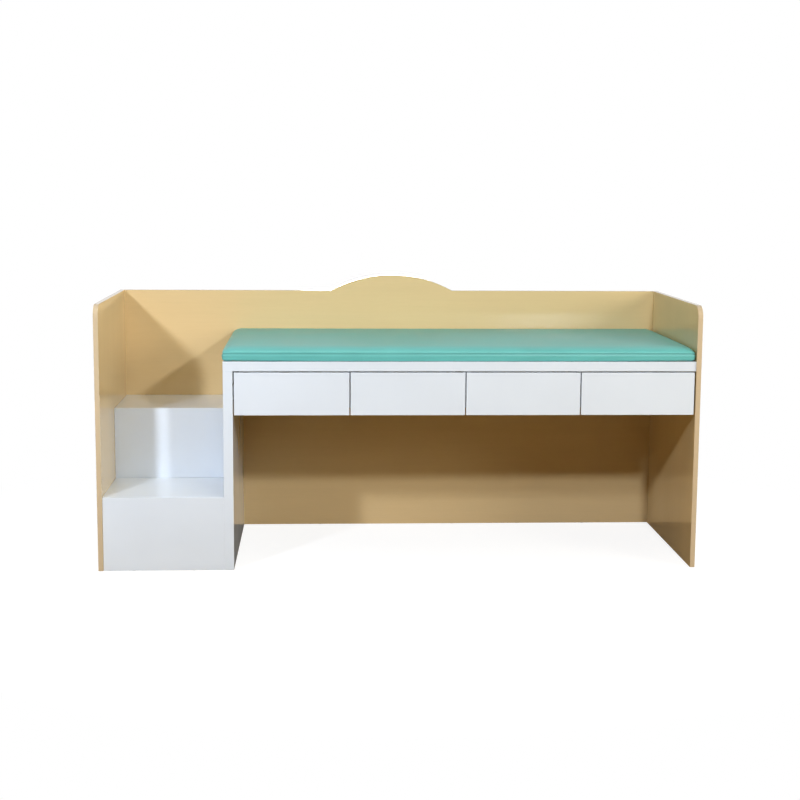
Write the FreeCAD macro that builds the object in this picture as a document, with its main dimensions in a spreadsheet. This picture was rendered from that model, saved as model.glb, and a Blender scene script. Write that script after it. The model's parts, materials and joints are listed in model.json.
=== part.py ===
import FreeCAD, Part
import math
import os
import re

import Sketcher
from FreeCAD import Placement, Rotation, Vector

# A children's examination couch built from boards: side panels and a back with an arched crest, a bed
# board over four drawers, an upholstered pad and two steps up. Millimetres, +X to the right, +Y to the
# back, +Z up. The origin is on the floor, under the middle of the footprint.

DIMENSIONS = {
    # Whole couch
    "overall_width": 2000,
    "overall_depth": 700,
    "side_height": 886,
    "corner_radius": 40,
    "crest_chord": 450,
    "crest_rise": 58,
    # Boards
    "board": 16,
    "thick_board": 32,
    "edge_band": 1,
    "edge_round": 1,
    "front_recess": 5,
    # Bed and steps
    "bed_height": 700,
    "step_width": 400,
    "step_rise": 248,
    # Drawer fronts
    "side_gap": 4,
    "top_gap": 4,
    "front_height": 142,
    "finger_bevel": 8,
    # Drawer boxes
    "box_lift": 23,
    "box_height": 100,
    "box_length": 550,
    "box_board": 12,
    "bottom_board": 4,
    "groove_height": 8,
    "groove_depth": 6,
    "groove_play": 0.3,
    # Telescopic slides
    "slide_length": 500,
    "slide_width": 12.7,
    "slide_gauge": 1.2,
    "slide_setback": 2,
    "outer_half": 22.5,
    "middle_half": 18.5,
    "inner_half": 14.3,
    "middle_web": 3.6,
    "middle_tip": 12,
    "inner_tip": 6,
    # Pad
    "pad_side_gap": 1.5,
    "pad_back_gap": 4,
    "pad_front_gap": 1,
    "pad_crease": 25,
    "pad_shoulder_run": 30,
    "pad_shoulder_rise": 21,
    "pad_shoulder_bow": 0.12,
    "pad_crown": 5,
    "pad_least_rise": 2,
    "pad_draw": 1.5,
    "pad_bulge": 1.4,
    "pad_corner": 25,
    "pad_front_corner": 10,
    "pad_cover": 1.2,
    "pad_base": 9,
    "pad_base_margin": 8,
    "pad_play": 0.5,
    "pad_margin": 35,
    # Dowels
    "dowel_radius": 4,
    "dowel_length": 30,
    "dowel_bite": 11,
    "thin_dowel_radius": 3,
    "thin_dowel_length": 24,
    "thin_dowel_bite": 9,
    "fit_gap": 0.1,
    "end_gap": 1,
    # Cam fittings
    "cam_radius": 7.5,
    "cam_depth": 12.5,
    "cam_setback": 24,
    "cam_height": 8,
    "cam_bolt_radius": 3,
    "cam_bolt_bite": 10,
    "cam_bore_radius": 3.6,
    # Screws
    "screw_radius": 3.2,
    "screw_length": 50,
    "screw_head_radius": 5,
    "screw_head_height": 3,
    "small_screw_radius": 1.75,
    "small_screw_length": 12,
    "small_head_radius": 3.5,
    "small_head_height": 1.8,
    "small_screw_stagger": 25,
    # Floor glides
    "glide_height": 1,
    "glide_radius": 7,
    "peg_radius": 2.5,
    "peg_length": 12,
}

DRAWERS = 4

# Main planes, as expressions in the dimensions
LEFT_FACE = "(board - overall_width / 2)"
RIGHT_FACE = "(overall_width / 2 - board)"
PANEL_FRONT = "(-overall_depth / 2)"
PANEL_REAR = "(overall_depth / 2)"
BACK_FACE = "(overall_depth / 2 - board)"
BACK_MIDDLE = "(overall_depth / 2 - board / 2)"
UNIT_FRONT = "(front_recess - overall_depth / 2)"
DIVIDER_LEFT = f"({LEFT_FACE} + step_width)"
DIVIDER_RIGHT = f"({DIVIDER_LEFT} + thick_board)"
DIVIDER_MIDDLE = f"({DIVIDER_LEFT} + thick_board / 2)"
BED_UNDERSIDE = "(bed_height - thick_board)"
BED_MIDDLE = "(bed_height - thick_board / 2)"
UPPER_FRONT = f"(({UNIT_FRONT} + {BACK_FACE}) / 2)"
UPPER_HEIGHT = "(2 * step_rise)"
FRONT_BACK = f"({UNIT_FRONT} + board)"
FRONT_TOP = f"({BED_UNDERSIDE} - top_gap)"
FRONT_LOW = f"({FRONT_TOP} - front_height)"
FRONT_WIDTH = f"(({RIGHT_FACE} - {DIVIDER_RIGHT} - {DRAWERS + 1} * side_gap) / {DRAWERS})"
BAY = f"(({RIGHT_FACE} - {DIVIDER_RIGHT} - {DRAWERS - 1} * board) / {DRAWERS})"
BOX_LOW = f"({FRONT_LOW} + box_lift)"
BOX_TOP = f"({BOX_LOW} + box_height)"
BOX_REAR = f"({FRONT_BACK} + box_length)"
BOX_FLOOR = f"({BOX_LOW} + groove_height)"
SLIDE_MIDDLE = f"({BOX_LOW} + box_height / 2)"
SLIDE_FRONT = f"({FRONT_BACK} + slide_setback)"
SLIDE_REAR = f"({SLIDE_FRONT} + slide_length)"

DIRECTIONS = {
    "x": Vector(1, 0, 0),
    "-x": Vector(-1, 0, 0),
    "y": Vector(0, 1, 0),
    "-y": Vector(0, -1, 0),
    "z": Vector(0, 0, 1),
}

doc = FreeCAD.newDocument("examination_couch")
sheet = doc.addObject("Spreadsheet::Sheet", "Dims")
nodes = []


def fill_sheet():
    """Writes the driving dimensions into the sheet, one named cell each."""
    for row, (name, size) in enumerate(DIMENSIONS.items(), start=1):
        sheet.set(f"A{row}", name)
        sheet.set(f"B{row}", str(size))
        sheet.setAlias(f"B{row}", name)
    doc.recompute()


def expand(text):
    """Turns the dimension names in an expression into references to the sheet's cells."""
    return re.sub(r"[a-z_]+", lambda word: f"Dims.{word[0]}" if word[0] in DIMENSIONS else word[0], text)


def bind(item, prop, text):
    item.setExpression(prop, expand(text))


def number(text):
    """The present value of an expression."""
    return float(sheet.evalExpression(expand(text)))


def put_at(item, start):
    for axis, text in zip("xyz", start):
        bind(item, f"Placement.Base.{axis}", text)


def shifted(start, direction, amount):
    """A starting point moved along a direction by an expression."""
    sign = "-" if direction.startswith("-") else "+"
    axis = "xyz".index(direction[-1])
    moved = list(start)
    moved[axis] = f"{start[axis]} {sign} ({amount})"
    return tuple(moved)


def new_body(label):
    body = doc.addObject("PartDesign::Body", label)
    body.Label = label
    nodes.append(body)
    return body


def block(body, kind, x, y, z):
    """Adds or takes away a box between two expressions on each axis."""
    box = body.newObject(f"PartDesign::{kind}Box", f"{kind}Box")
    for size, (low, high) in zip(("Length", "Width", "Height"), (x, y, z)):
        bind(box, size, f"({high}) - ({low})")
    put_at(box, (x[0], y[0], z[0]))
    return box


def rod(body, kind, start, direction, radius, length):
    """Adds or takes away a cylinder that runs from a point along a direction."""
    item = body.newObject(f"PartDesign::{kind}Cylinder", f"{kind}Rod")
    item.Placement = Placement(Vector(), Rotation(Vector(0, 0, 1), DIRECTIONS[direction]))
    bind(item, "Radius", radius)
    bind(item, "Height", length)
    put_at(item, start)


def cone(body, kind, start, direction, radius, end_radius, length):
    """Adds or takes away a cone that runs from a point along a direction."""
    item = body.newObject(f"PartDesign::{kind}Cone", f"{kind}Cone")
    item.Placement = Placement(Vector(), Rotation(Vector(0, 0, 1), DIRECTIONS[direction]))
    bind(item, "Radius1", radius)
    bind(item, "Radius2", end_radius)
    bind(item, "Height", length)
    put_at(item, start)


def edges(feature, test):
    """Names of the feature's edges whose middle passes a test."""
    doc.recompute()
    return [f"Edge{count}" for count, edge in enumerate(feature.Shape.Edges, start=1)
            if test(edge.CenterOfMass)]


def fillet(body, base, names, radius):
    item = body.newObject("PartDesign::Fillet", "Rounding")
    item.Base = (base, names)
    bind(item, "Radius", radius)
    return item


def board(label, x, y, z):
    """A flat board with all its edges lightly rounded."""
    body = new_body(label)
    box = block(body, "Additive", x, y, z)
    fillet(body, box, edges(box, lambda middle: True), "edge_round")
    return body


def arc_between(start, end, radius, turn):
    """The shorter arc from one point to another, turning left (1) or right (-1)."""
    chord = end - start
    left = Vector(-chord.y, chord.x, 0).normalize()
    centre = (start + end) * 0.5 + left * (turn * math.sqrt(radius ** 2 - chord.Length ** 2 / 4))
    first, last = (start, end) if turn > 0 else (end, start)
    angles = [math.atan2(point.y - centre.y, point.x - centre.x) for point in (first, last)]
    if angles[1] < angles[0]:
        angles[1] += 2 * math.pi
    return Part.ArcOfCircle(Part.Circle(centre, Vector(0, 0, 1), radius), *angles)


def outline(body, plane, offset, points, arcs=None):
    """A closed sketch through points given as expressions, on an offset plane of the body's origin.

    arcs gives a side's radius and turn by the side's number; the other sides are straight.
    """
    arcs = arcs or {}
    sketch = body.newObject("Sketcher::SketchObject", "Outline")
    support = next(item for item in body.Origin.OriginFeatures if item.Role == plane)
    sketch.AttachmentSupport = [(support, "")]
    sketch.MapMode = "FlatFace"
    bind(sketch, "AttachmentOffset.Base.z", offset)
    corners = [Vector(number(across), number(up), 0) for across, up in points]
    for side, start in enumerate(corners):
        end = corners[(side + 1) % len(corners)]
        if side in arcs:
            radius, turn = arcs[side]
            sketch.addGeometry(arc_between(start, end, number(radius), turn), False)
            bind(sketch, radius_constraint(sketch, side, number(radius)), radius)
        else:
            sketch.addGeometry(Part.LineSegment(start, end), False)
    ends = [(2, 1) if side in arcs and arcs[side][1] < 0 else (1, 2) for side in range(len(corners))]
    for side, (across, up) in enumerate(points):
        following = (side + 1) % len(points)
        joint = Sketcher.Constraint("Coincident", side, ends[side][1], following, ends[following][0])
        sketch.addConstraint(joint)
        for kind, text in (("DistanceX", across), ("DistanceY", up)):
            rule = Sketcher.Constraint(kind, -1, 1, side, ends[side][0], number(text))
            bind(sketch, f"Constraints[{sketch.addConstraint(rule)}]", text)
    return sketch


def radius_constraint(sketch, side, radius):
    return f"Constraints[{sketch.addConstraint(Sketcher.Constraint('Radius', side, radius))}]"


def pad(body, sketch, length):
    item = body.newObject("PartDesign::Pad", "Pad")
    item.Profile = sketch
    bind(item, "Length", length)
    return item


def loft(body, kind, sections):
    item = body.newObject(f"PartDesign::{kind}Loft", f"{kind}Loft")
    item.Profile = sections[0]
    item.Sections = sections[1:]
    item.Ruled = True
    return item


# Side panels and their edge bands

def side_panel(label, face):
    """An upright side panel whose top front corner is rounded, less its edge band."""
    body = new_body(label)
    front = f"{PANEL_FRONT} + edge_band"
    top = "side_height - edge_band"
    corners = [(front, "glide_height"), (PANEL_REAR, "glide_height"), (PANEL_REAR, top), (front, top)]
    plate = pad(body, outline(body, "YZ_Plane", face, corners), "board")
    corner = (number(front), number(top))
    fillet(body, plate, edges(plate, lambda middle: is_near((middle.y, middle.z), corner)),
           "corner_radius - edge_band")
    return body


def is_near(point, target):
    return math.dist(point, target) < number("edge_band") / 10


def side_edge_band(label, face):
    """The band that covers the front edge, the rounded corner and the top edge of a side panel."""
    body = new_body(label)
    inner_front = f"{PANEL_FRONT} + edge_band"
    inner_top = "side_height - edge_band"
    corners = [(PANEL_FRONT, "glide_height"), (inner_front, "glide_height"), (inner_front, inner_top),
               (PANEL_REAR, inner_top), (PANEL_REAR, "side_height"), (PANEL_FRONT, "side_height")]
    strip = pad(body, outline(body, "YZ_Plane", face, corners), "board")
    outer_corner = (number(PANEL_FRONT), number("side_height"))
    rounded = fillet(body, strip, edges(strip, lambda middle: is_near((middle.y, middle.z), outer_corner)),
                     "corner_radius")
    inner_corner = (number(inner_front), number(inner_top))
    fillet(body, rounded, edges(rounded, lambda middle: is_near((middle.y, middle.z), inner_corner)),
           "corner_radius - edge_band")
    return body


# Back panel with its crest

CREST_RADIUS = "((crest_chord ^ 2 / 4 + crest_rise ^ 2) / (2 * crest_rise))"
CREST_CENTRE = f"(side_height + crest_rise - {CREST_RADIUS})"
INNER_TOP = "(side_height - edge_band)"
INNER_CREST_RADIUS = f"({CREST_RADIUS} - edge_band)"
INNER_HALF_CHORD = f"sqrt({INNER_CREST_RADIUS} ^ 2 - ({INNER_TOP} - {CREST_CENTRE}) ^ 2)"


def back_panel():
    """The back board between the side panels, with an arched crest in the middle, less its edge band."""
    body = new_body("back_panel")
    corners = [(LEFT_FACE, "glide_height"), (RIGHT_FACE, "glide_height"), (RIGHT_FACE, INNER_TOP),
               (INNER_HALF_CHORD, INNER_TOP), (f"-{INNER_HALF_CHORD}", INNER_TOP), (LEFT_FACE, INNER_TOP)]
    sketch = outline(body, "XZ_Plane", f"-{PANEL_REAR}", corners, {3: (INNER_CREST_RADIUS, 1)})
    pad(body, sketch, "board")
    return body


def back_edge_band():
    """The band along the top of the back, over the crest."""
    body = new_body("back_edge_band")
    corners = [(LEFT_FACE, INNER_TOP), (f"-{INNER_HALF_CHORD}", INNER_TOP), (INNER_HALF_CHORD, INNER_TOP),
               (RIGHT_FACE, INNER_TOP), (RIGHT_FACE, "side_height"), ("crest_chord / 2", "side_height"),
               ("-crest_chord / 2", "side_height"), (LEFT_FACE, "side_height")]
    arcs = {1: (INNER_CREST_RADIUS, -1), 5: (CREST_RADIUS, 1)}
    pad(body, outline(body, "XZ_Plane", f"-{PANEL_REAR}", corners, arcs), "board")
    return body


# Fastenings

def dowel(pegs, boards, start, direction, size=""):
    """A dowel in its group, and its hole in each of the boards that it joins."""
    radius = f"{size}dowel_radius"
    length = f"{size}dowel_length"
    rod(pegs, "Additive", start, direction, radius, length)
    for item in boards:
        rod(item, "Subtractive", shifted(start, direction, "-end_gap"), direction,
            f"{radius} + fit_gap", f"{length} + 2 * end_gap")


def cam_joint(bolts, discs, held, panel, face, direction, across, disc_start, disc_direction):
    """A bolt in a panel's face, and the disc in the held board that draws it tight.

    across is the bolt's place on the panel's face, and disc_start the disc's centre on the board's skin.
    """
    bolt_start = shifted((face, *across), direction, "-cam_bolt_bite")
    bolt_length = "cam_bolt_bite + cam_setback"
    rod(bolts, "Additive", bolt_start, direction, "cam_bolt_radius", bolt_length)
    rod(panel, "Subtractive", shifted(bolt_start, direction, "-end_gap"), direction,
        "cam_bolt_radius + fit_gap", f"{bolt_length} + end_gap")
    rod(held, "Subtractive", bolt_start, direction, "cam_bore_radius", bolt_length)
    rod(held, "Subtractive", disc_start, disc_direction, "cam_radius + fit_gap", "cam_depth + fit_gap")
    rod(discs, "Additive", disc_start, disc_direction, "cam_radius", "cam_depth")
    rod(discs, "Subtractive", bolt_start, direction, "cam_bore_radius", f"{bolt_length} + end_gap")


def back_screw(screws, back, held, x, z):
    """A countersunk screw through the back panel into the rear edge of a board."""
    start = (x, PANEL_REAR, z)
    shank_start = shifted(start, "-y", "screw_head_height")
    shank_length = "screw_length - screw_head_height"
    cone(screws, "Additive", start, "-y", "screw_head_radius", "screw_radius", "screw_head_height")
    rod(screws, "Additive", shank_start, "-y", "screw_radius", shank_length)
    cone(back, "Subtractive", start, "-y", "screw_head_radius + fit_gap", "screw_radius + fit_gap",
         "screw_head_height")
    for item in (back, held):
        rod(item, "Subtractive", shank_start, "-y", "screw_radius + fit_gap", f"{shank_length} + end_gap")


def slide_screw(screws, channels, panel, face, direction, y):
    """A pan-head screw that holds an outer slide member to a board."""
    start = (face, y, SLIDE_MIDDLE)
    under_head = shifted(start, direction, "-slide_gauge")
    shank_length = "slide_gauge + small_screw_length"
    rod(screws, "Additive", shifted(under_head, direction, "-small_head_height"), direction,
        "small_head_radius", "small_head_height")
    rod(screws, "Additive", under_head, direction, "small_screw_radius", shank_length)
    for item in (channels, panel):
        rod(item, "Subtractive", under_head, direction, "small_screw_radius + fit_gap",
            f"{shank_length} + end_gap")


def glide(glides, panel, x, y):
    """A plastic glide under a board, held by a peg."""
    rod(glides, "Additive", (x, y, "0"), "z", "glide_radius", "glide_height")
    rod(glides, "Additive", (x, y, "glide_height"), "z", "peg_radius", "peg_length")
    rod(panel, "Subtractive", (x, y, "0"), "z", "peg_radius + fit_gap",
        "glide_height + peg_length + end_gap")


# Frame of boards

def carcass():
    """The fixed boards, by name."""
    fixed = {
        "left": side_panel("left_side_panel", "-overall_width / 2"),
        "right": side_panel("right_side_panel", RIGHT_FACE),
        "back": back_panel(),
    }
    side_edge_band("left_edge_band", "-overall_width / 2")
    side_edge_band("right_edge_band", RIGHT_FACE)
    back_edge_band()
    depth = (UNIT_FRONT, BACK_FACE)
    fixed["divider"] = board("divider_panel", (DIVIDER_LEFT, DIVIDER_RIGHT), depth,
                             ("glide_height", BED_UNDERSIDE))
    fixed["bed"] = board("bed_board", (DIVIDER_LEFT, RIGHT_FACE), depth, (BED_UNDERSIDE, "bed_height"))
    for bay in range(1, DRAWERS):
        left = bay_left(bay)
        fixed[f"partition_{bay}"] = board(f"drawer_partition_{bay}", (f"{left} - board", left),
                                            (SLIDE_FRONT, BACK_FACE), (BOX_LOW, BED_UNDERSIDE))
    width = (LEFT_FACE, DIVIDER_LEFT)
    fixed["lower_riser"] = board("lower_riser", width, (UNIT_FRONT, FRONT_BACK),
                                 ("glide_height", "step_rise"))
    fixed["lower_tread"] = board("lower_tread", width, (FRONT_BACK, f"{UPPER_FRONT} + board"),
                                 ("step_rise - board", "step_rise"))
    fixed["upper_riser"] = board("upper_riser", width, (UPPER_FRONT, f"{UPPER_FRONT} + board"),
                                 ("step_rise", UPPER_HEIGHT))
    fixed["upper_tread"] = board("upper_tread", width, (f"{UPPER_FRONT} + board", BACK_FACE),
                                 (f"{UPPER_HEIGHT} - board", UPPER_HEIGHT))
    return fixed


def bay_left(bay):
    """The left side of a drawer's bay, counted from 0."""
    return f"({DIVIDER_RIGHT} + {bay} * ({BAY} + board))"


def board_dowels(fixed):
    """Dowels at the ends of the step boards, and between the bed board and what it rests on."""
    pegs = new_body("board_dowels")
    riser_middle = f"({UNIT_FRONT} + board / 2)"
    upper_middle = f"({UPPER_FRONT} + board / 2)"
    lower_level = "(step_rise - board / 2)"
    upper_level = f"({UPPER_HEIGHT} - board / 2)"
    ends = [
        ("lower_riser", (riser_middle, "step_rise / 3")),
        ("lower_riser", (riser_middle, "step_rise * 2 / 3")),
        ("lower_tread", (f"{UNIT_FRONT} * 2 / 3", lower_level)),
        ("lower_tread", (f"{UNIT_FRONT} / 4", lower_level)),
        ("upper_riser", (upper_middle, "step_rise * 4 / 3")),
        ("upper_riser", (upper_middle, "step_rise * 5 / 3")),
        ("upper_tread", (f"{BACK_FACE} / 4", upper_level)),
        ("upper_tread", (f"{BACK_FACE} * 2 / 3", upper_level)),
    ]
    for name, across in ends:
        dowel(pegs, (fixed["left"], fixed[name]), (f"{LEFT_FACE} - dowel_bite", *across), "x")
        dowel(pegs, (fixed["divider"], fixed[name]), (f"{DIVIDER_LEFT} + dowel_bite", *across), "-x")
    rows = (f"{UNIT_FRONT} * 3 / 4", f"{BACK_FACE} * 3 / 4")
    for y in rows:
        dowel(pegs, (fixed["right"], fixed["bed"]), (f"{RIGHT_FACE} + dowel_bite", y, BED_MIDDLE), "-x")
    uprights = [(fixed["divider"], DIVIDER_MIDDLE)]
    for bay in range(1, DRAWERS):
        uprights.append((fixed[f"partition_{bay}"], f"({bay_left(bay)} - board / 2)"))
    for upright, x in uprights:
        for y in rows:
            start = (x, y, f"{BED_UNDERSIDE} + dowel_bite - dowel_length")
            dowel(pegs, (upright, fixed["bed"]), start, "z")


def cam_fittings(fixed):
    """Cam fittings between the back and the side panels, and at the right end of the bed board."""
    bolts = new_body("cam_bolts")
    discs = new_body("cam_discs")
    for level in ("side_height / 6", "side_height / 2", "side_height * 9 / 10"):
        across = (BACK_MIDDLE, level)
        cam_joint(bolts, discs, fixed["back"], fixed["left"], LEFT_FACE, "x", across,
                  (f"{LEFT_FACE} + cam_setback", PANEL_REAR, level), "-y")
        cam_joint(bolts, discs, fixed["back"], fixed["right"], RIGHT_FACE, "-x", across,
                  (f"{RIGHT_FACE} - cam_setback", PANEL_REAR, level), "-y")
    for y in (f"{UNIT_FRONT} / 2", f"{BACK_FACE} / 2"):
        across = (y, f"{BED_UNDERSIDE} + cam_height")
        cam_joint(bolts, discs, fixed["bed"], fixed["right"], RIGHT_FACE, "-x", across,
                  (f"{RIGHT_FACE} - cam_setback", y, BED_UNDERSIDE), "z")


def back_screws(fixed):
    """Long screws through the back panel into the boards that end at it."""
    screws = new_body("back_screws")
    back = fixed["back"]
    for bay in range(DRAWERS):
        back_screw(screws, back, fixed["bed"], f"{bay_left(bay)} + {BAY} / 2", BED_MIDDLE)
    for bay in range(1, DRAWERS):
        back_screw(screws, back, fixed[f"partition_{bay}"], f"{bay_left(bay)} - board / 2",
                   SLIDE_MIDDLE)
    for level in ("step_rise / 2", "step_rise * 3 / 2"):
        back_screw(screws, back, fixed["divider"], DIVIDER_MIDDLE, level)
    for share in (1, 3):
        back_screw(screws, back, fixed["upper_tread"], f"{LEFT_FACE} + step_width * {share} / 4",
                   f"{UPPER_HEIGHT} - board / 2")


def floor_glides(fixed):
    """Glides under every board that stands on the floor."""
    glides = new_body("floor_glides")
    ends = ("overall_depth * 3 / 7", "-overall_depth * 3 / 7")
    for y in ends:
        glide(glides, fixed["left"], "(board - overall_width) / 2", y)
        glide(glides, fixed["right"], "(overall_width - board) / 2", y)
        glide(glides, fixed["divider"], DIVIDER_MIDDLE, y)
    for eighth in (-1, 1, 2, 3):
        glide(glides, fixed["back"], f"overall_width * {eighth} / 8 - board", BACK_MIDDLE)
    for share in (1, 3):
        glide(glides, fixed["lower_riser"], f"{LEFT_FACE} + step_width * {share} / 4",
              f"{UNIT_FRONT} + board / 2")


# Telescopic slides

def channel(body, web, tip, side, half):
    """A slide member: a web with two flanges that point from it towards tip, left (-1) or right (1)."""
    low = f"{SLIDE_MIDDLE} - {half}"
    top = f"{SLIDE_MIDDLE} + {half}"
    inner = f"{web} + ({side}) * slide_gauge"
    corners = [(web, low), (tip, low), (tip, f"{low} + slide_gauge"), (inner, f"{low} + slide_gauge"),
               (inner, f"{top} - slide_gauge"), (tip, f"{top} - slide_gauge"), (tip, top), (web, top)]
    pad(body, outline(body, "XZ_Plane", f"-{SLIDE_REAR}", corners), "slide_length")


def outer_slide_members(fixed):
    """The members that are screwed to the boards on both sides of each bay, and their screws."""
    channels = new_body("slide_outer_members")
    screws = new_body("slide_screws")
    for bay in range(DRAWERS):
        left = bay_left(bay)
        right = f"({left} + {BAY})"
        channel(channels, left, f"{left} + middle_tip", 1, "outer_half")
        channel(channels, right, f"{right} - middle_tip", -1, "outer_half")
        left_board = fixed["divider"] if bay == 0 else fixed[f"partition_{bay}"]
        right_board = fixed["right"] if bay == DRAWERS - 1 else fixed[f"partition_{bay + 1}"]
        for share in (1, 4):
            y = f"{SLIDE_FRONT} + slide_length * {share} / 5"
            slide_screw(screws, channels, left_board, left, "-x", y)
            slide_screw(screws, channels, right_board, right, "x", f"{y} + small_screw_stagger")


def middle_slide_members(bay):
    channels = new_body(f"slide_{bay + 1}_middle_members")
    left = bay_left(bay)
    right = f"({left} + {BAY})"
    channel(channels, f"{left} + middle_web", f"{left} + middle_tip", 1, "middle_half")
    channel(channels, f"{right} - middle_web", f"{right} - middle_tip", -1, "middle_half")


def inner_slide_members(bay):
    channels = new_body(f"drawer_{bay + 1}_slide_members")
    left = bay_left(bay)
    right = f"({left} + {BAY})"
    channel(channels, f"{left} + slide_width", f"{left} + inner_tip", -1, "inner_half")
    channel(channels, f"{right} - slide_width", f"{right} - inner_tip", 1, "inner_half")


# Drawers

def drawer_front(name, bay):
    """An inset front, bevelled behind its lower edge as a finger pull, with a groove for the bottom."""
    body = new_body(f"{name}_front")
    left = f"{DIVIDER_RIGHT} + side_gap + {bay} * ({FRONT_WIDTH} + side_gap)"
    corners = [(UNIT_FRONT, FRONT_LOW), (f"{FRONT_BACK} - finger_bevel", FRONT_LOW),
               (FRONT_BACK, f"{FRONT_LOW} + finger_bevel"), (FRONT_BACK, FRONT_TOP),
               (UNIT_FRONT, FRONT_TOP)]
    plate = pad(body, outline(body, "YZ_Plane", left, corners), FRONT_WIDTH)
    rim = number(UNIT_FRONT)
    fillet(body, plate, edges(plate, lambda middle: is_near((middle.y,), (rim,))), "edge_round")
    return body


def drawer_box(name, bay, front):
    """Sides, back and bottom of a drawer, joined by dowels."""
    left = f"({bay_left(bay)} + slide_width)"
    right = f"({bay_left(bay)} + {BAY} - slide_width)"
    groove = (f"{BOX_FLOOR} - groove_play", f"{BOX_FLOOR} + bottom_board + groove_play")
    length = (FRONT_BACK, BOX_REAR)
    height = (BOX_LOW, BOX_TOP)
    groove_left = f"({left} + box_board - groove_depth)"
    groove_right = f"({right} - box_board + groove_depth)"
    sides = []
    for side, across, slot in (
        ("left", (left, f"{left} + box_board"), (groove_left, f"{left} + box_board")),
        ("right", (f"{right} - box_board", right), (f"{right} - box_board", groove_right)),
    ):
        panel = new_body(f"{name}_{side}_side")
        block(panel, "Additive", across, length, height)
        block(panel, "Subtractive", slot, length, groove)
        sides.append(panel)
    block(front, "Subtractive", (groove_left, groove_right), (f"{FRONT_BACK} - groove_depth", FRONT_BACK),
          groove)
    back = new_body(f"{name}_back")
    block(back, "Additive", (f"{left} + box_board", f"{right} - box_board"),
          (f"{BOX_REAR} - box_board", BOX_REAR), (groove[1], BOX_TOP))
    bottom = new_body(f"{name}_bottom")
    block(bottom, "Additive", (f"{groove_left} + groove_play", f"{groove_right} - groove_play"),
          (f"{FRONT_BACK} - groove_depth + groove_play", BOX_REAR),
          (BOX_FLOOR, f"{BOX_FLOOR} + bottom_board"))
    drawer_dowels(name, front, sides, back, (left, right))


def drawer_dowels(name, front, sides, back, faces):
    """Dowels that hold the sides to the front and the back between the sides."""
    pegs = new_body(f"{name}_dowels")
    left, right = faces
    for level in (f"{BOX_LOW} + box_height / 3", f"{BOX_LOW} + box_height * 4 / 5"):
        y = f"{FRONT_BACK} - thin_dowel_bite"
        dowel(pegs, (front, sides[0]), (f"{left} + box_board / 2", y, level), "y", "thin_")
        dowel(pegs, (front, sides[1]), (f"{right} - box_board / 2", y, level), "y", "thin_")
        y = f"{BOX_REAR} - box_board / 2"
        inner_left = f"{left} + box_board - thin_dowel_bite"
        inner_right = f"{right} - box_board + thin_dowel_bite"
        dowel(pegs, (sides[0], back), (inner_left, y, level), "x", "thin_")
        dowel(pegs, (sides[1], back), (inner_right, y, level), "-x", "thin_")


# Upholstered pad

CORNER_STEPS = 4
LEAST_CROWN_SHARE = 0.25
END_CROWN_SHARE = 0.7


def pad_stations(inset):
    """Stations along the pad: X, the share of the full height, the rounding at the front and the crown.

    The ends are rounded in plan, more at the rear than at the front, and in height, and the crown is
    highest in the middle.
    """
    left = f"({DIVIDER_LEFT} + {inset})"
    right = f"({RIGHT_FACE} - pad_side_gap - {inset})"
    rounding = []
    for step in range(CORNER_STEPS + 1):
        angle = math.pi / 2 * step / CORNER_STEPS
        share = round(math.sin(angle), 4)
        run = f"pad_corner * {round(1 - math.cos(angle), 4)}"
        front = f"(pad_front_corner - sqrt(pad_front_corner ^ 2 - max(pad_front_corner - {run}; 0) ^ 2))"
        crown = f"(pad_crown * {max(share * END_CROWN_SHARE, LEAST_CROWN_SHARE)})"
        rounding.append((run, (share, front, crown)))
    stations = [(f"{left} + {run}", *sizes) for run, sizes in rounding]
    stations.append((f"({left} + {right}) / 2", 1, "0", "pad_crown"))
    stations += [(f"{right} - {run}", *sizes) for run, sizes in reversed(rounding)]
    return stations


def pad_section(body, station, inset, low):
    """A section across the pad: flat below, bulging walls up to a crease, shoulders and a crown.

    inset moves the outline inwards, and low is the height of its flat underside.
    """
    x, share, front_rounding, crown = station
    front = f"({UNIT_FRONT} + pad_front_gap + {inset} + pad_draw + {front_rounding})"
    rear = f"({BACK_FACE} - pad_back_gap - {inset} - pad_draw - pad_corner * {1 - share})"
    crease = f"(bed_height + pad_crease - {inset} / 2)"
    rise = f"(pad_least_rise + (pad_shoulder_rise - pad_least_rise - {inset} / 2) * {share})"
    shoulder = f"({crease} + {rise})"
    corners = [(front, low), (rear, low), (rear, crease), (f"{rear} - pad_shoulder_run", shoulder),
               (f"{front} + pad_shoulder_run", shoulder), (front, crease)]
    wall = sagitta_radius(f"{crease} - {low}", "pad_bulge")
    shoulder_chord = f"sqrt(pad_shoulder_run ^ 2 + {rise} ^ 2)"
    corner = sagitta_radius(shoulder_chord, f"{shoulder_chord} * pad_shoulder_bow")
    top = sagitta_radius(f"{rear} - {front} - 2 * pad_shoulder_run", crown)
    arcs = {1: (wall, 1), 2: (corner, 1), 3: (top, 1), 4: (corner, 1), 5: (wall, 1)}
    return outline(body, "YZ_Plane", x, corners, arcs)


def sagitta_radius(chord, rise):
    """The radius of an arc from its chord and its rise."""
    return f"((({chord}) ^ 2 / 4 + ({rise}) ^ 2) / (2 * ({rise})))"


def pad_sections(body, inset, low):
    return [pad_section(body, station, inset, low) for station in pad_stations(inset)]


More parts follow.
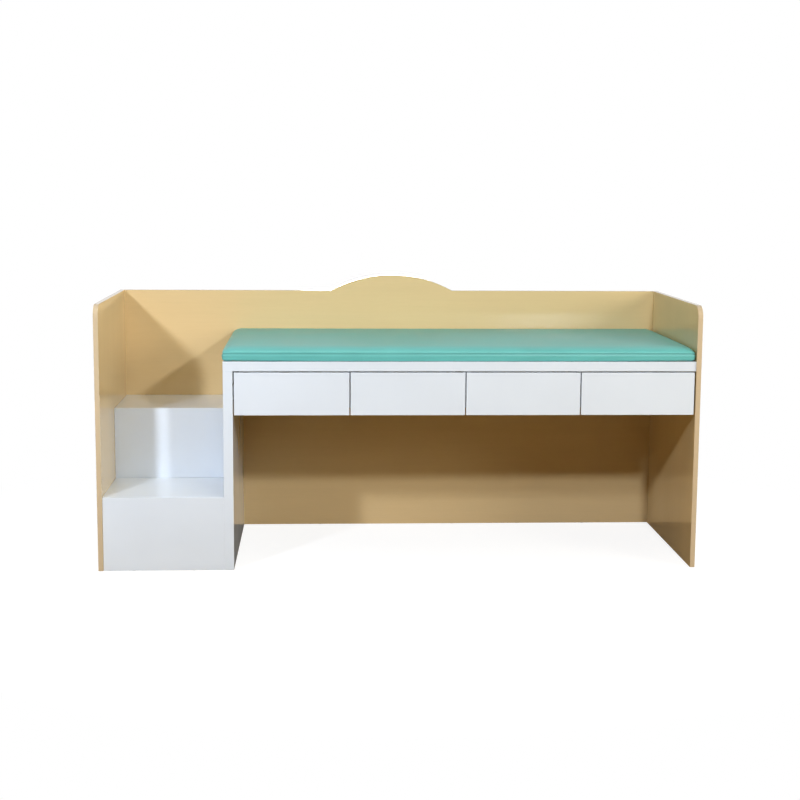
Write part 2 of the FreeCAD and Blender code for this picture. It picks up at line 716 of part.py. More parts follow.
def examination_pad():
    """The pad: a cover turned in under a base board, and the foam on the board."""
    cover = new_body("pad_cover")
    loft(cover, "Additive", pad_sections(cover, "0", "bed_height"))
    loft(cover, "Subtractive", pad_sections(cover, "pad_cover", "(bed_height + pad_cover)"))
    left = DIVIDER_LEFT
    right = f"({RIGHT_FACE} - pad_side_gap)"
    front = f"({UNIT_FRONT} + pad_front_gap)"
    rear = f"({BACK_FACE} - pad_back_gap)"
    block(cover, "Subtractive", (f"{left} + pad_margin", f"{right} - pad_margin"),
          (f"{front} + pad_margin", f"{rear} - pad_margin"), ("bed_height", "bed_height + pad_cover"))
    foam = new_body("pad_foam")
    base_top = "(bed_height + pad_cover + pad_base)"
    loft(foam, "Additive", pad_sections(foam, "(pad_cover + pad_play)", base_top))
    base = new_body("pad_base_board")
    inset = "(pad_draw + pad_base_margin)"
    plate = block(base, "Additive", (f"{left} + {inset}", f"{right} - {inset}"),
                  (f"{front} + {inset}", f"{rear} - {inset}"), ("bed_height + pad_cover", base_top))
    level = number("bed_height + pad_cover + pad_base / 2")
    fillet(base, plate, edges(plate, lambda middle: is_near((middle.z,), (level,))), "pad_corner")


def check_document():
    """Stops if a feature failed or a shape is empty or broken."""
    failed = [item.Label for item in doc.Objects if {"Invalid", "Error"} & set(item.State)]
    if failed:
        raise RuntimeError(f"failed features: {failed}")
    broken = [body.Label for body in nodes if body.Shape.isNull() or not body.Shape.isValid()]
    if broken:
        raise RuntimeError(f"broken shapes: {broken}")


def build():
    fill_sheet()
    fixed = carcass()
    board_dowels(fixed)
    cam_fittings(fixed)
    back_screws(fixed)
    floor_glides(fixed)
    outer_slide_members(fixed)
    for bay in range(DRAWERS):
        name = f"drawer_{bay + 1}"
        drawer_box(name, bay, drawer_front(name, bay))
        inner_slide_members(bay)
        middle_slide_members(bay)
    examination_pad()
    doc.recompute()
    check_document()
    os.makedirs("parts", exist_ok=True)
    for body in nodes:
        body.Shape.exportStep(f"parts/{body.Label}.step")
        print(f"{body.Label}: {len(body.Shape.Solids)} solid(s), {body.Shape.Volume / 1000:.1f} cm3")


build()
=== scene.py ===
import json
import math
from collections import namedtuple

import bpy
import numpy as np
from mathutils import Matrix, Vector, noise


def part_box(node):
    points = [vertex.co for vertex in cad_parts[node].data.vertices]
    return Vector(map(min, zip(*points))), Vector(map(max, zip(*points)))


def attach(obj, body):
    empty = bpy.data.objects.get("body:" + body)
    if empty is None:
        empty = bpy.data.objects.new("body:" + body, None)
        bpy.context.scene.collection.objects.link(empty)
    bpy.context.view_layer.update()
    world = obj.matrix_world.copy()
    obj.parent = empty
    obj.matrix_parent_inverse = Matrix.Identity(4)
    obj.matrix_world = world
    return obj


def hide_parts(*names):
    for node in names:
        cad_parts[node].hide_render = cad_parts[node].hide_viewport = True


# Looks of a children's examination couch: board finishes, metal fittings and an upholstered pad, around
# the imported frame. Metres, +X to the right, +Y to the back, +Z up.

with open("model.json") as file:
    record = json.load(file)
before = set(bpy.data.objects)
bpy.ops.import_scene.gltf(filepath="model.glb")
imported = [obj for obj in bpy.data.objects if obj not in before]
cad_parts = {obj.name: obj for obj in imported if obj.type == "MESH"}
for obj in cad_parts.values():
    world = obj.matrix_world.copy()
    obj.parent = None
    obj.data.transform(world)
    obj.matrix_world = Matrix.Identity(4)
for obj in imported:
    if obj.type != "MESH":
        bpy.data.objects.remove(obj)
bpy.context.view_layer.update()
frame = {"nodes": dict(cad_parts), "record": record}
nodes = frame["nodes"]


# Camera

IMAGE_SIDE = 800
FOCAL_PIXELS = 1508.3
SENSOR_WIDTH = 36
CAMERA_PLACE = (-0.263, -5.265, 1.284)
CAMERA_YAW = 0.053
CAMERA_PITCH = 0.1433
CAMERA_ROLL = 0.0066


def make_camera():
    """A camera in front of the drawers, turned a little to the right and looking slightly down."""
    data = bpy.data.cameras.new("camera")
    data.sensor_width = SENSOR_WIDTH
    data.lens = FOCAL_PIXELS * SENSOR_WIDTH / IMAGE_SIDE
    forward = Vector((math.sin(CAMERA_YAW) * math.cos(CAMERA_PITCH),
                      math.cos(CAMERA_YAW) * math.cos(CAMERA_PITCH),
                      -math.sin(CAMERA_PITCH)))
    right = Vector((math.cos(CAMERA_YAW), -math.sin(CAMERA_YAW), 0))
    up = right.cross(forward)
    rolled_right = right * math.cos(CAMERA_ROLL) + up * math.sin(CAMERA_ROLL)
    rolled_up = up * math.cos(CAMERA_ROLL) - right * math.sin(CAMERA_ROLL)
    camera = bpy.data.objects.new("camera", data)
    camera.matrix_world = Matrix.Translation(CAMERA_PLACE) @ Matrix(
        (rolled_right, rolled_up, -forward)).transposed().to_4x4()
    bpy.context.scene.collection.objects.link(camera)
    bpy.context.scene.camera = camera


# Shader helpers

X_AXIS, Y_AXIS, Z_AXIS = range(3)


def connect(tree, value, socket):
    """Links a socket to another one, or sets its value."""
    if isinstance(value, bpy.types.NodeSocket):
        tree.links.new(value, socket)
    else:
        socket.default_value = value


def node(tree, kind, inputs=None, **settings):
    """Adds a shader node with its settings and its inputs, which are values or sockets."""
    made = tree.nodes.new("ShaderNode" + kind)
    for name, value in settings.items():
        setattr(made, name, value)
    for name, value in (inputs or {}).items():
        connect(tree, value, made.inputs[name])
    return made


def math_node(tree, operation, *values):
    made = node(tree, "Math", operation=operation)
    for value, socket in zip(values, made.inputs):
        connect(tree, value, socket)
    return made.outputs[0]


def mixed(tree, share, first, second):
    """A colour between two colours."""
    made = node(tree, "Mix", {"Factor": share}, data_type="RGBA")
    colours = [socket for socket in made.inputs if socket.type == "RGBA"]
    connect(tree, first, colours[0])
    connect(tree, second, colours[1])
    return next(socket for socket in made.outputs if socket.type == "RGBA")


def ramp(tree, value, stops):
    """A colour looked up along a row of (place, colour) stops."""
    made = node(tree, "ValToRGB", {"Fac": value})
    elements = made.color_ramp.elements
    while len(elements) < len(stops):
        elements.new(1)
    for element, (place, colour) in zip(elements, stops):
        element.position = place
        element.color = (*colour, 1)
    return made.outputs["Color"]


def ranged(tree, value, low, high, source=(0.3, 0.7)):
    """A value moved from its usual range into another one."""
    return node(tree, "MapRange", {"Value": value, "From Min": source[0], "From Max": source[1],
                                   "To Min": low, "To Max": high}).outputs["Result"]


def object_coords(tree, stretch=(1, 1, 1)):
    """Object coordinates, drawn out along the axes whose stretch is small."""
    source = node(tree, "TexCoord").outputs["Object"]
    return node(tree, "Mapping", {"Vector": source, "Scale": stretch}).outputs["Vector"]


def stretched(axis, share):
    """The stretch that draws coordinates out along one axis."""
    stretch = [1, 1, 1]
    stretch[axis] = share
    return stretch


def noise_value(tree, coords, scale, detail=2, distortion=0):
    return node(tree, "TexNoise", {"Vector": coords, "Scale": scale, "Detail": detail,
                                   "Distortion": distortion}).outputs["Fac"]


def bump(tree, height, strength, distance, normal=None):
    inputs = {"Height": height, "Strength": strength, "Distance": distance}
    if normal:
        inputs["Normal"] = normal
    return node(tree, "Bump", inputs).outputs["Normal"]


def new_material(name, **values):
    """A material with one main shader, whose constant values are set by their names in lower case."""
    material = bpy.data.materials.new(name)
    material.use_nodes = True
    tree = material.node_tree
    shader = tree.nodes["Principled BSDF"]
    for key, value in values.items():
        shader.inputs[key.replace("_", " ").title().replace("Ior", "IOR")].default_value = value
    return material, tree, shader


def surface(tree, shader, colour, roughness, normal):
    """Connects the colour, the roughness and the fine relief of a material."""
    connect(tree, colour, shader.inputs["Base Color"])
    connect(tree, roughness, shader.inputs["Roughness"])
    connect(tree, normal, shader.inputs["Normal"])


def scaled(colour, share):
    return tuple(part * share for part in colour)


def shade(colour, share):
    """A lighter or darker opaque tone of a colour."""
    return (*scaled(colour, share), 1)


# Board finishes

MAPLE = (0.77, 0.57, 0.30)
MAPLE_BAND = (0.63, 0.49, 0.315)
WHITE = (0.745, 0.80, 0.87)
DRAWER_WHITE = (0.75, 0.76, 0.755)
HARDBOARD_TONE = 0.95
FOAM_CREAM = (0.85, 0.8, 0.6)
PLYWOOD = (0.60, 0.43, 0.26)
BEECH = (0.66, 0.47, 0.29)
GLOSSY_ROUGHNESS = (0.07, 0.11)
SATIN_ROUGHNESS = (0.35, 0.45)
DULL_ROUGHNESS = (0.4, 0.5)
RAW_ROUGHNESS = (0.55, 0.7)
FOAM_ROUGHNESS = (0.9, 0.95)
GRAIN_STRETCH = 0.035
CLOUD_STRETCH = 0.2
CLOUD_SCALE = 7
STREAK_SCALE = 70
FIBRE_SCALE = 520
STREAK_STRENGTH = 5
STREAK_TONE = 0.80
PORE_STRENGTH = 4
PORE_RANGE = (0.55, 0.75)
PORE_TONE = 0.60
RAW_FINENESS = 1.6
RAW_STREAK_SHARE = 0.6
RAW_STREAK_TONE = 0.7


def wood_grain(tree, axis, fine=1):
    """Broad clouds, streaks and fibres of a straight grain along an axis, each from 0 to 1."""
    along = object_coords(tree, stretched(axis, GRAIN_STRETCH))
    broad = object_coords(tree, stretched(axis, CLOUD_STRETCH))
    clouds = noise_value(tree, broad, CLOUD_SCALE * fine)
    streaks = noise_value(tree, along, STREAK_SCALE * fine, detail=4, distortion=0.5)
    fibres = noise_value(tree, along, FIBRE_SCALE * fine, detail=3)
    return clouds, streaks, fibres


def clouded(tree, clouds, colour, darkest, lightest):
    """A colour that wanders between a darker and a lighter tone."""
    return mixed(tree, ranged(tree, clouds, 0, 1), shade(colour, darkest), shade(colour, lightest))


def maple_finish(name, axis, colour=MAPLE, contrast=0.02):
    """Printed maple foil with a clear gloss: a faint straight grain and fine pores."""
    material, tree, shader = new_material(name, specular_ior_level=0.5)
    clouds, streaks, fibres = wood_grain(tree, axis)
    broad = clouded(tree, clouds, colour, 1 - contrast, 1 + contrast)
    streak_share = ranged(tree, streaks, low=0, high=contrast * STREAK_STRENGTH)
    lined = mixed(tree, streak_share, broad, shade(colour, STREAK_TONE))
    pore_share = ranged(tree, fibres, low=0, high=contrast * PORE_STRENGTH, source=PORE_RANGE)
    pores = mixed(tree, pore_share, lined, shade(colour, PORE_TONE))
    relief = bump(tree, fibres, strength=0.01, distance=0.0003)
    surface(tree, shader, pores, ranged(tree, clouds, *GLOSSY_ROUGHNESS), relief)
    return material


def white_finish(name, colour=WHITE, roughness=GLOSSY_ROUGHNESS):
    """White melamine: nearly even, with a faint cloud and the orange peel of the press plate."""
    material, tree, shader = new_material(name, specular_ior_level=0.5)
    coords = object_coords(tree)
    clouds = noise_value(tree, coords, scale=4, detail=3)
    peel = noise_value(tree, coords, scale=420)
    tone = clouded(tree, clouds, colour, darkest=0.975, lightest=1.015)
    relief = bump(tree, peel, strength=0.02, distance=0.0002)
    surface(tree, shader, tone, ranged(tree, clouds, *roughness), relief)
    return material


def raw_wood(name, axis, colour, contrast=0.2):
    """Uncoated wood: clearer grain and a dull face."""
    material, tree, shader = new_material(name, specular_ior_level=0.3)
    clouds, streaks, fibres = wood_grain(tree, axis, RAW_FINENESS)
    broad = clouded(tree, clouds, colour, 1 - contrast, 1 + contrast)
    streak_share = ranged(tree, streaks, low=0, high=RAW_STREAK_SHARE)
    lined = mixed(tree, streak_share, broad, shade(colour, RAW_STREAK_TONE))
    relief = bump(tree, fibres, strength=0.2, distance=0.0005)
    surface(tree, shader, lined, ranged(tree, streaks, *RAW_ROUGHNESS), relief)
    return material


# Metal and plastic

ZINC_TONES = [(0.3, (0.56, 0.57, 0.58)), (0.7, (0.68, 0.69, 0.69))]
NYLON_TONES = [(0.3, (0.74, 0.72, 0.67)), (0.7, (0.82, 0.80, 0.76))]
BRUSH_STRETCH = 0.02


def zinc_steel(name):
    """Zinc-plated sheet steel, brushed from front to back."""
    material, tree, shader = new_material(name, metallic=1)
    along = object_coords(tree, stretched(Y_AXIS, BRUSH_STRETCH))
    brushed = noise_value(tree, along, scale=900, detail=3)
    blotches = noise_value(tree, object_coords(tree), scale=60, detail=3)
    roughness = ranged(tree, brushed, low=0.28, high=0.48)
    relief = bump(tree, brushed, strength=0.15, distance=0.0002)
    surface(tree, shader, ramp(tree, blotches, ZINC_TONES), roughness, relief)
    return material


def pale_plastic(name):
    """Moulded natural nylon with a fine eroded grain."""
    material, tree, shader = new_material(name, specular_ior_level=0.4)
    grain = noise_value(tree, object_coords(tree), scale=1500)
    roughness = ranged(tree, grain, low=0.45, high=0.6)
    relief = bump(tree, grain, strength=0.3, distance=0.0002)
    surface(tree, shader, ramp(tree, grain, NYLON_TONES), roughness, relief)
    return material


# Plan and profile of the pad

FRONT_CORNER = 0.009
REAR_CORNER = 0.025
OUTLINE_INSET = 0.0008
LEFT_OVERHANG = 0.0042
DRAW_IN = 0.0008
CREASE_HEIGHT = 0.025
FRONT_RUN = 0.06
REAR_RUN = 0.014
END_RUN = 0.035
SHOULDER_RISE = 0.0217
SHOULDER_POWER = 2.2
CROWN = 0.0025
CROWN_AT_ENDS = 0.6
FINE_STEP = 0.0008
STEP_GROWTH = 1.3
COARSE_STEP = 0.012

Plan = namedtuple("Plan", "low high size middle")


def pad_plan():
    """The box around the pad's outline, from the box of its cover."""
    inset = Vector((OUTLINE_INSET, OUTLINE_INSET, 0))
    low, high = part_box("pad_cover")
    low, high = low + inset, high - inset
    low.x -= LEFT_OVERHANG
    return Plan(low, high, high - low, (low + high) / 2)


def crease_level(plan):
    """The height of the sewn crease above the floor."""
    return plan.low.z + CREASE_HEIGHT


def stations(length):
    """Places of the grid's lines across the pad, close together near its edges."""
    edge = [0]
    step = FINE_STEP
    while step < COARSE_STEP:
        edge.append(edge[-1] + step)
        step *= STEP_GROWTH
    middle = length - 2 * edge[-1]
    count = round(middle / COARSE_STEP)
    inner = [edge[-1] + middle * spot / count for spot in range(1, count)]
    return edge + inner + [length - place for place in reversed(edge)]


def past_corner(x, y, low, high):
    """How far a point of the plan lies outside the rectangle between the centres of the round corners."""
    radius = FRONT_CORNER if y < (low.y + high.y) / 2 else REAR_CORNER
    inner_x = min(max(x, low.x + radius), high.x - radius)
    inner_y = min(max(y, low.y + radius), high.y - radius)
    return Vector((x - inner_x, y - inner_y, 0))


def rounded(x, y, plan):
    """Moves a point of the plan with square corners into the plan with round ones."""
    place = Vector((x, y, 0))
    past = past_corner(x, y, plan.low, plan.high)
    if past.x and past.y:
        place += past * (max(abs(past.x), abs(past.y)) / past.length - 1)
    return place


def outward(point, low, high):
    """The direction out of the pad's plan at a point of its outline."""
    return past_corner(point.x, point.y, low, high).normalized()


def bows(x, y, plan):
    """Arches along X and along Y: 1 in the middle of the pad and 0 at its edges."""
    along = 1 - (2 * (x - plan.middle.x) / plan.size.x) ** 2
    across = 1 - (2 * (y - plan.middle.y) / plan.size.y) ** 2
    return along, across


def shoulder(distance, run):
    """The share of the shoulder's rise that is reached at a distance from a side."""
    left_over = 1 - min(distance / run, 1)
    return (1 - left_over ** SHOULDER_POWER) ** (1 / SHOULDER_POWER)


def top_rise(x, y, plan):
    """The height of the pad's top above the crease."""
    along, across = bows(x, y, plan)
    ends = shoulder(min(x - plan.low.x, plan.high.x - x), END_RUN)
    sides = shoulder(y - plan.low.y, FRONT_RUN) * shoulder(plan.high.y - y, REAR_RUN)
    return SHOULDER_RISE * ends * sides + CROWN * across * (CROWN_AT_ENDS + (1 - CROWN_AT_ENDS) * along)


# Mesh of the pad

WALL_STEPS = 10
WALL_BULGE = 0.0008
WALL_LEAN = 0.0025
FOOT_RADIUS = 0.0025
FOOT_STEPS = 3
LEAST_LIFT = 0.001
END_LIFT = 0.0042
LIFT_RUN = 0.2
LIFT_POWER = 4
HEM = 0.003
MARGIN = 0.035
MARGIN_LIFT = 0.003


def border(width, depth):
    """The grid's points around its edge, in order."""
    last = depth - 1
    loop = list(range(width))
    loop += [row * width + width - 1 for row in range(1, depth)]
    loop += [last * width + column for column in range(width - 2, -1, -1)]
    loop += [row * width for row in range(last - 1, 0, -1)]
    return loop


def pad_top(plan, crease):
    """Points and faces of the crowned top, each point's drop below the crease, and the crease's points."""
    xs = [plan.low.x + place for place in stations(plan.size.x)]
    ys = [plan.low.y + place for place in stations(plan.size.y)]
    points = []
    drops = []
    for y in ys:
        for x in xs:
            rise = top_rise(x, y, plan)
            points.append(rounded(x, y, plan) + Vector((0, 0, crease + rise)))
            drops.append(-rise)
    width = len(xs)
    faces = []
    for row in range(len(ys) - 1):
        for column in range(width - 1):
            corner = row * width + column
            faces.append((corner, corner + 1, corner + width + 1, corner + width))
    return points, faces, drops, border(width, len(ys))


def wall_rows():
    """Drops below the crease, offsets and margins of the wall, the rounded foot and the turned-in edge."""
    wall = CREASE_HEIGHT - FOOT_RADIUS
    rows = []
    for step in range(1, WALL_STEPS + 1):
        share = step / WALL_STEPS
        rows.append((wall * share, WALL_BULGE * math.sin(math.pi * share) - WALL_LEAN * share, 0))
    for step in range(1, FOOT_STEPS + 1):
        angle = math.pi / 2 * step / FOOT_STEPS
        turned_in = WALL_LEAN + FOOT_RADIUS * (1 - math.cos(angle))
        rows.append((wall + FOOT_RADIUS * math.sin(angle), -turned_in, 0))
    rows.append((CREASE_HEIGHT, -turned_in, HEM))
    rows.append((CREASE_HEIGHT, -turned_in, MARGIN))
    rows.append((CREASE_HEIGHT - MARGIN_LIFT, -turned_in, MARGIN))
    return rows


def foot_lift(x, plan):
    """How far the foot of the wall stands off the bed board: most at the pad's ends."""
    to_end = min(x - plan.low.x, plan.high.x - x)
    return LEAST_LIFT + END_LIFT * math.exp(-to_end / LIFT_RUN)


def add_walls(points, faces, drops, loop, plan, crease):
    """Adds the walls below the crease, row by row, and the underside that is turned in."""
    middle, size = plan.middle, plan.size
    previous = loop
    for drop, offset, margin in wall_rows():
        ring = []
        for index in loop:
            place = points[index] + outward(points[index], plan.low, plan.high) * offset
            lift = 0 if margin else foot_lift(place.x, plan) * (drop / CREASE_HEIGHT) ** LIFT_POWER
            ring.append(len(points))
            points.append(Vector((middle.x + (place.x - middle.x) * (1 - 2 * margin / size.x),
                                  middle.y + (place.y - middle.y) * (1 - 2 * margin / size.y),
                                  crease - drop + lift)))
            drops.append(drop + margin)
        for spot in range(len(loop)):
            following = (spot + 1) % len(loop)
            faces.append((previous[spot], ring[spot], ring[following], previous[following]))
        previous = ring


def draw_in(points, plan):
    """Draws the sides of the pad in towards their middles."""
    for point in points:
        along, across = bows(point.x, point.y, plan)
        point.x -= (point.x - plan.middle.x) * across * 2 * DRAW_IN / plan.size.x
        point.y -= (point.y - plan.middle.y) * along * 2 * DRAW_IN / plan.size.y


def pad_form():
    """The pad's points and faces, each point's drop below the crease, and the crease's points.

    The drop is negative on the top.
    """
    plan = pad_plan()
    crease = crease_level(plan)
    points, faces, drops, loop = pad_top(plan, crease)
    add_walls(points, faces, drops, loop, plan, crease)
    draw_in(points, plan)
    return points, faces, drops, loop


# Stuffing of the pad

STUFFING_PRESSURE = 4
STUFFING_FRAMES = 20
LARGEST_SWELL = 0.004
FREE_DROP = 0.02


def vertex_array(mesh):
    """The places of a mesh's points as rows of three numbers."""
    places = np.empty(len(mesh.vertices) * 3)
    mesh.vertices.foreach_get("co", places)
    return places.reshape(-1, 3)


def stuffed(pad, drops, loop):
    """Swells the cover under pressure, held at its crease and its foot, and keeps the swollen form."""
    scene = bpy.context.scene
    held = pad.vertex_groups.new(name="held")
    held.add([index for index, drop in enumerate(drops) if drop > FREE_DROP] + loop, 1, "REPLACE")
    cloth = pad.modifiers.new("stuffing", "CLOTH")
    settings = cloth.settings
    settings.vertex_group_mass = "held"
    settings.use_pressure = True
    settings.uniform_pressure_force = STUFFING_PRESSURE
    settings.effector_weights.gravity = 0
    for frame_number in range(1, STUFFING_FRAMES + 1):
        scene.frame_set(frame_number)
    swollen = pad.evaluated_get(bpy.context.evaluated_depsgraph_get()).data
    start = vertex_array(pad.data)
    moves = vertex_array(swollen) - start
    farthest = np.linalg.norm(moves, axis=1).max()
    moves *= min(1, LARGEST_SWELL / farthest)
    pad.modifiers.remove(cloth)
    pad.vertex_groups.remove(held)
    scene.frame_set(1)
    pad.data.vertices.foreach_set("co", (start + moves).ravel())
    pad.data.update()


# Seam of the pad

SEAM_DEPTH = 0.0036
SEAM_RUN = 0.0025
SEAM_EVEN_SHARE = 0.8
SEAM_SLACK_SHARE = 0.5
SEAM_WAVE = 0.0007
FOLD_DROP = 0.012
FOLD_WIDTH = 0.003
FOLD_DEPTH = 0.002
FOLD_BIAS = 0.15
UNEVENNESS = 0.0004
SLACK_SCALE = (5, 5)
WAVE_SCALE = (9, 9)
UNEVEN_SCALE = (3, 6)
SLACK_LAYER, WAVE_LAYER, UNEVEN_LAYER = 1, 2, 3


def wandering(place, scale, layer):
    """A smooth random value over the plan, about 0."""
    return noise.noise(Vector((place.x * scale[0], place.y * scale[1], layer)))


def sewn(pad, drops, loop):
    """Draws the crease in along its seam, lays a slack fold under it and makes the top a little uneven."""
    low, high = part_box("pad_cover")
    on_seam = set(loop)
    for vertex in pad.data.vertices:
        place = vertex.co.copy()
        drop = drops[vertex.index]
        if drop > FREE_DROP:
            continue
        inwards = -outward(place, low, high)
        slack = wandering(place, SLACK_SCALE, SLACK_LAYER)
        wave = wandering(place, WAVE_SCALE, WAVE_LAYER)
        reach = 1 if vertex.index in on_seam else math.exp(-abs(drop) / SEAM_RUN)
        vertex.co += inwards * SEAM_DEPTH * (SEAM_EVEN_SHARE + SEAM_SLACK_SHARE * slack) * reach
        vertex.co.z += SEAM_WAVE * wave * reach
        if drop > 0:
            share = math.exp(-((drop - FOLD_DROP) / FOLD_WIDTH) ** 2)
            vertex.co += inwards * FOLD_DEPTH * share * max(0, slack + FOLD_BIAS)
        else:
            vertex.co.z += UNEVENNESS * wandering(place, UNEVEN_SCALE, UNEVEN_LAYER)


def make_pad(material):
    """The pad as one soft piece, which is stuffed, sewn and made smooth."""
    points, faces, drops, loop = pad_form()
    mesh = bpy.data.meshes.new("examination_pad")
    mesh.from_pydata(points, [], faces)
    mesh.polygons.foreach_set("use_smooth", [True] * len(mesh.polygons))
    mesh.materials.append(material)
    pad = bpy.data.objects.new("examination_pad", mesh)
    bpy.context.scene.collection.objects.link(pad)
    stuffed(pad, drops, loop)
    sewn(pad, drops, loop)
    finer = pad.modifiers.new("finer", "SUBSURF")
    finer.levels = 1
    finer.render_levels = 1
    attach(pad, "pad")
    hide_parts("pad_cover", "pad_foam")


# Upholstery vinyl

VINYL = (0.135, 0.495, 0.465)
VALLEY_SHARE = 0.25
VALLEY_RANGE = (0.3, 0.8)
VALLEY_TONE = 0.6
# Painted shade: a darker band along the seam stands in for the shade under the crease.
SEAM_SHADE_SHARE = 0.45
SEAM_SHADE_BAND = (0.001, 0.005)
SEAM_SHADE_TONE = 0.45


def pad_vinyl():
    """Coated upholstery: a fine pebbled grain, a soft gloss and a painted shade line along the seam."""
    material, tree, shader = new_material("pad_vinyl", specular_ior_level=0.5)
    coords = object_coords(tree)
    clouds = noise_value(tree, coords, scale=6, detail=3)
    pebbles = node(tree, "TexVoronoi", {"Vector": coords, "Scale": 700},
                   feature="SMOOTH_F1").outputs["Distance"]
    fine = noise_value(tree, coords, scale=1800)
    tone = clouded(tree, clouds, VINYL, darkest=0.95, lightest=1.05)
    valley_share = ranged(tree, pebbles, low=0, high=VALLEY_SHARE, source=VALLEY_RANGE)
    valleys = mixed(tree, valley_share, tone, shade(VINYL, VALLEY_TONE))
    height = node(tree, "SeparateXYZ", {"Vector": coords}).outputs["Z"]
    above_seam = math_node(tree, "SUBTRACT", height, crease_level(pad_plan()))
    from_seam = math_node(tree, "ABSOLUTE", above_seam)
    # Painted shade along the seam: darkest at the crease, fading out within a few millimetres.
    seam_shade = ranged(tree, from_seam, low=SEAM_SHADE_SHARE, high=0, source=SEAM_SHADE_BAND)
    seam_shaded = mixed(tree, seam_shade, valleys, shade(VINYL, SEAM_SHADE_TONE))
    pebbled = bump(tree, pebbles, strength=0.25, distance=0.0003)
    relief = bump(tree, fine, strength=0.1, distance=0.0002, normal=pebbled)
    surface(tree, shader, seam_shaded, ranged(tree, clouds, low=0.40, high=0.46), relief)
    return material


# Finishes on the frame's nodes

def dress_nodes():
    """Gives every node of the frame the finish of its material slot."""
    by_slot = {
        "maple_board": maple_finish("maple_upright", Z_AXIS),
        "maple_band": maple_finish("maple_band", Z_AXIS, MAPLE_BAND),
        "white_board": white_finish("white_melamine"),
        "drawer_board": white_finish("drawer_foil", DRAWER_WHITE, SATIN_ROUGHNESS),
        "hardboard": white_finish("hardboard_foil", scaled(DRAWER_WHITE, HARDBOARD_TONE), DULL_ROUGHNESS),
        "pad_foam": white_finish("foam", FOAM_CREAM, FOAM_ROUGHNESS),
        "plywood": raw_wood("plywood", X_AXIS, PLYWOOD),
        "slide_steel": zinc_steel("slide_steel"),
        "fastener_steel": zinc_steel("fastener_steel"),
        "beech_dowel": raw_wood("beech", X_AXIS, BEECH, contrast=0.1),
        "glide_plastic": pale_plastic("glide_plastic"),
        "pad_vinyl": pad_vinyl(),
    }
    by_node = {
        "back_panel": maple_finish("maple_level", X_AXIS),
        "back_edge_band": maple_finish("maple_band_level", X_AXIS, MAPLE_BAND),
    }
    for part in frame["record"]["subparts"]:
        name = part["node"]
        material = by_node.get(name, by_slot[part["material_slot"]])
        slots = nodes[name].data.materials
        slots.clear()
        slots.append(material)
    return by_slot


# Floor and backdrop

FLOOR_HALF = 12
SEEN_FLOOR = (0.26, 0.26, 0.26, 1)
BOUNCING_FLOOR = (0.40, 0.27, 0.11, 1)
MIRRORED_FLOOR = (0.08, 0.07, 0.06, 1)
FLOOR_GLOW = 0.84
FLOOR_FADE = (1.15, 1.9)
BACKDROP_START = (0.4, 1.2)
BACKDROP_EDGE = (0, 0.3)
BACKDROP_WHITE = (1, 1, 1, 1)
WORLD_FILL = 0.02
GLOSS_FRONT = 0.05


def emission(tree, strength):
    return node(tree, "Emission", {"Strength": strength}).outputs["Emission"]


def added(tree, first, second):
    """The light of two shaders together."""
    made = node(tree, "AddShader")
    connect(tree, first, made.inputs[0])
    connect(tree, second, made.inputs[1])
    return made.outputs["Shader"]


def blended(tree, share, first, second):
    """A shader between two shaders."""
    made = node(tree, "MixShader", {"Fac": share})
    connect(tree, first, made.inputs[1])
    connect(tree, second, made.inputs[2])
    return made.outputs["Shader"]


def floor_material():
    """A pale floor that takes the shadow and turns into the white backdrop further out."""
    material = bpy.data.materials.new("floor")
    material.use_nodes = True
    tree = material.node_tree
    tree.nodes.clear()
    place = node(tree, "TexCoord").outputs["Object"]
    distance = node(tree, "VectorMath", {"Vector": place}, operation="LENGTH").outputs["Value"]
    far = ranged(tree, distance, 0, 1, FLOOR_FADE)
    depth = node(tree, "SeparateXYZ", {"Vector": place}).outputs["Y"]
    behind = ranged(tree, depth, 0, 1, BACKDROP_START)
    path = node(tree, "LightPath")
    in_gloss = path.outputs["Is Glossy Ray"]
    mirrored = math_node(tree, "MAXIMUM", in_gloss, path.outputs["Is Transmission Ray"])
    from_camera = path.outputs["Is Camera Ray"]
    shown = math_node(tree, "MAXIMUM", from_camera, math_node(tree, "MULTIPLY", mirrored, behind))
    unseen = mixed(tree, in_gloss, BOUNCING_FLOOR, MIRRORED_FLOOR)
    colour = mixed(tree, from_camera, unseen, SEEN_FLOOR)
    matt = node(tree, "BsdfDiffuse", {"Color": colour}).outputs["BSDF"]
    glow = emission(tree, math_node(tree, "MULTIPLY", from_camera, FLOOR_GLOW))
    white_share = math_node(tree, "MULTIPLY", shown, far)
    both = blended(tree, white_share, added(tree, matt, glow), emission(tree, 1))
    node(tree, "OutputMaterial", {"Surface": both})
    return material


def make_floor():
    mesh = bpy.data.meshes.new("floor")
    corners = [(-FLOOR_HALF, -FLOOR_HALF, 0), (FLOOR_HALF, -FLOOR_HALF, 0),
               (FLOOR_HALF, FLOOR_HALF, 0), (-FLOOR_HALF, FLOOR_HALF, 0)]
    mesh.from_pydata(corners, [], [(0, 1, 2, 3)])
    floor = bpy.data.objects.new("floor", mesh)
    mesh.materials.append(floor_material())
    bpy.context.scene.collection.objects.link(floor)


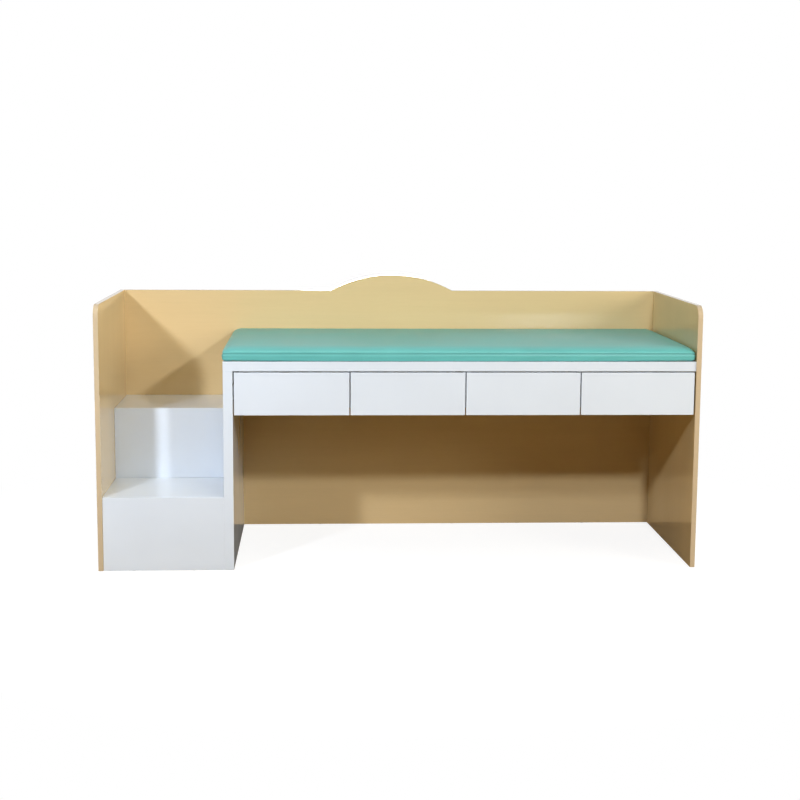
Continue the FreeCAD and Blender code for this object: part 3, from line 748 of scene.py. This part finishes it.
def make_world():
    """A white backdrop behind the object, a dim front of the studio in gloss, and a weak fill."""
    world = bpy.data.worlds.new("studio")
    bpy.context.scene.world = world
    world.use_nodes = True
    tree = world.node_tree
    path = node(tree, "LightPath")
    direction = node(tree, "SeparateXYZ", {"Vector": node(tree, "TexCoord").outputs["Generated"]})
    backdrop = ranged(tree, direction.outputs["Y"], GLOSS_FRONT, 1, BACKDROP_EDGE)
    in_gloss = math_node(tree, "MULTIPLY", path.outputs["Is Glossy Ray"], backdrop)
    shown = math_node(tree, "MAXIMUM", path.outputs["Is Camera Ray"], path.outputs["Is Transmission Ray"])
    strength = math_node(tree, "MAXIMUM", math_node(tree, "MAXIMUM", shown, in_gloss), WORLD_FILL)
    background = tree.nodes["Background"]
    connect(tree, strength, background.inputs["Strength"])
    connect(tree, BACKDROP_WHITE, background.inputs["Color"])


# Lamps: place, target, spread, size, power in watts and colour

MIDDLE = (0, 0, 0.45)
STEPS = (-0.78, 0, 0.3)
WIDE, NARROW = math.pi, math.radians(110)
LAMPS = {
    "left_lamp": ((-1.77, -2.21, 1.66), STEPS, NARROW, 0.16, 14.5, (0.89, 0.965, 1.09)),
    "right_lamp": ((1.05, -2.97, 1.85), MIDDLE, WIDE, 0.16, 42, (0.94, 1, 1.08)),
    "far_right_lamp": ((3.2, -2.5, 1.7), MIDDLE, WIDE, 1.5, 55, (1.04, 1, 0.90)),
    "top_lamp": ((-0.3, -1.2, 3.4), MIDDLE, WIDE, 2.2, 31, (1.09, 1, 0.80)),
    "left_side_lamp": ((-3.6, 0.2, 0.8), MIDDLE, WIDE, 0.9, 48, (1, 1, 1)),
    "right_side_lamp": ((3.6, 0.2, 0.8), MIDDLE, WIDE, 0.9, 48, (1, 1, 1)),
    "rear_lamp": ((0, 3.9, 0.8), MIDDLE, WIDE, 0.9, 60, (1, 1, 1)),
}


def make_lamps():
    for name, (place, target, spread, size, power, colour) in LAMPS.items():
        data = bpy.data.lights.new(name, "AREA")
        data.shape = "DISK"
        data.size = size
        data.spread = spread
        data.energy = power
        data.color = colour
        lamp = bpy.data.objects.new(name, data)
        lamp.location = place
        lamp.rotation_mode = "QUATERNION"
        lamp.rotation_quaternion = (Vector(target) - Vector(place)).to_track_quat("-Z", "Y")
        lamp.visible_camera = False
        bpy.context.scene.collection.objects.link(lamp)


make_camera()
finishes = dress_nodes()
make_pad(finishes["pad_vinyl"])
make_floor()
make_world()
make_lamps()
bpy.context.scene.view_settings.view_transform = "Standard"
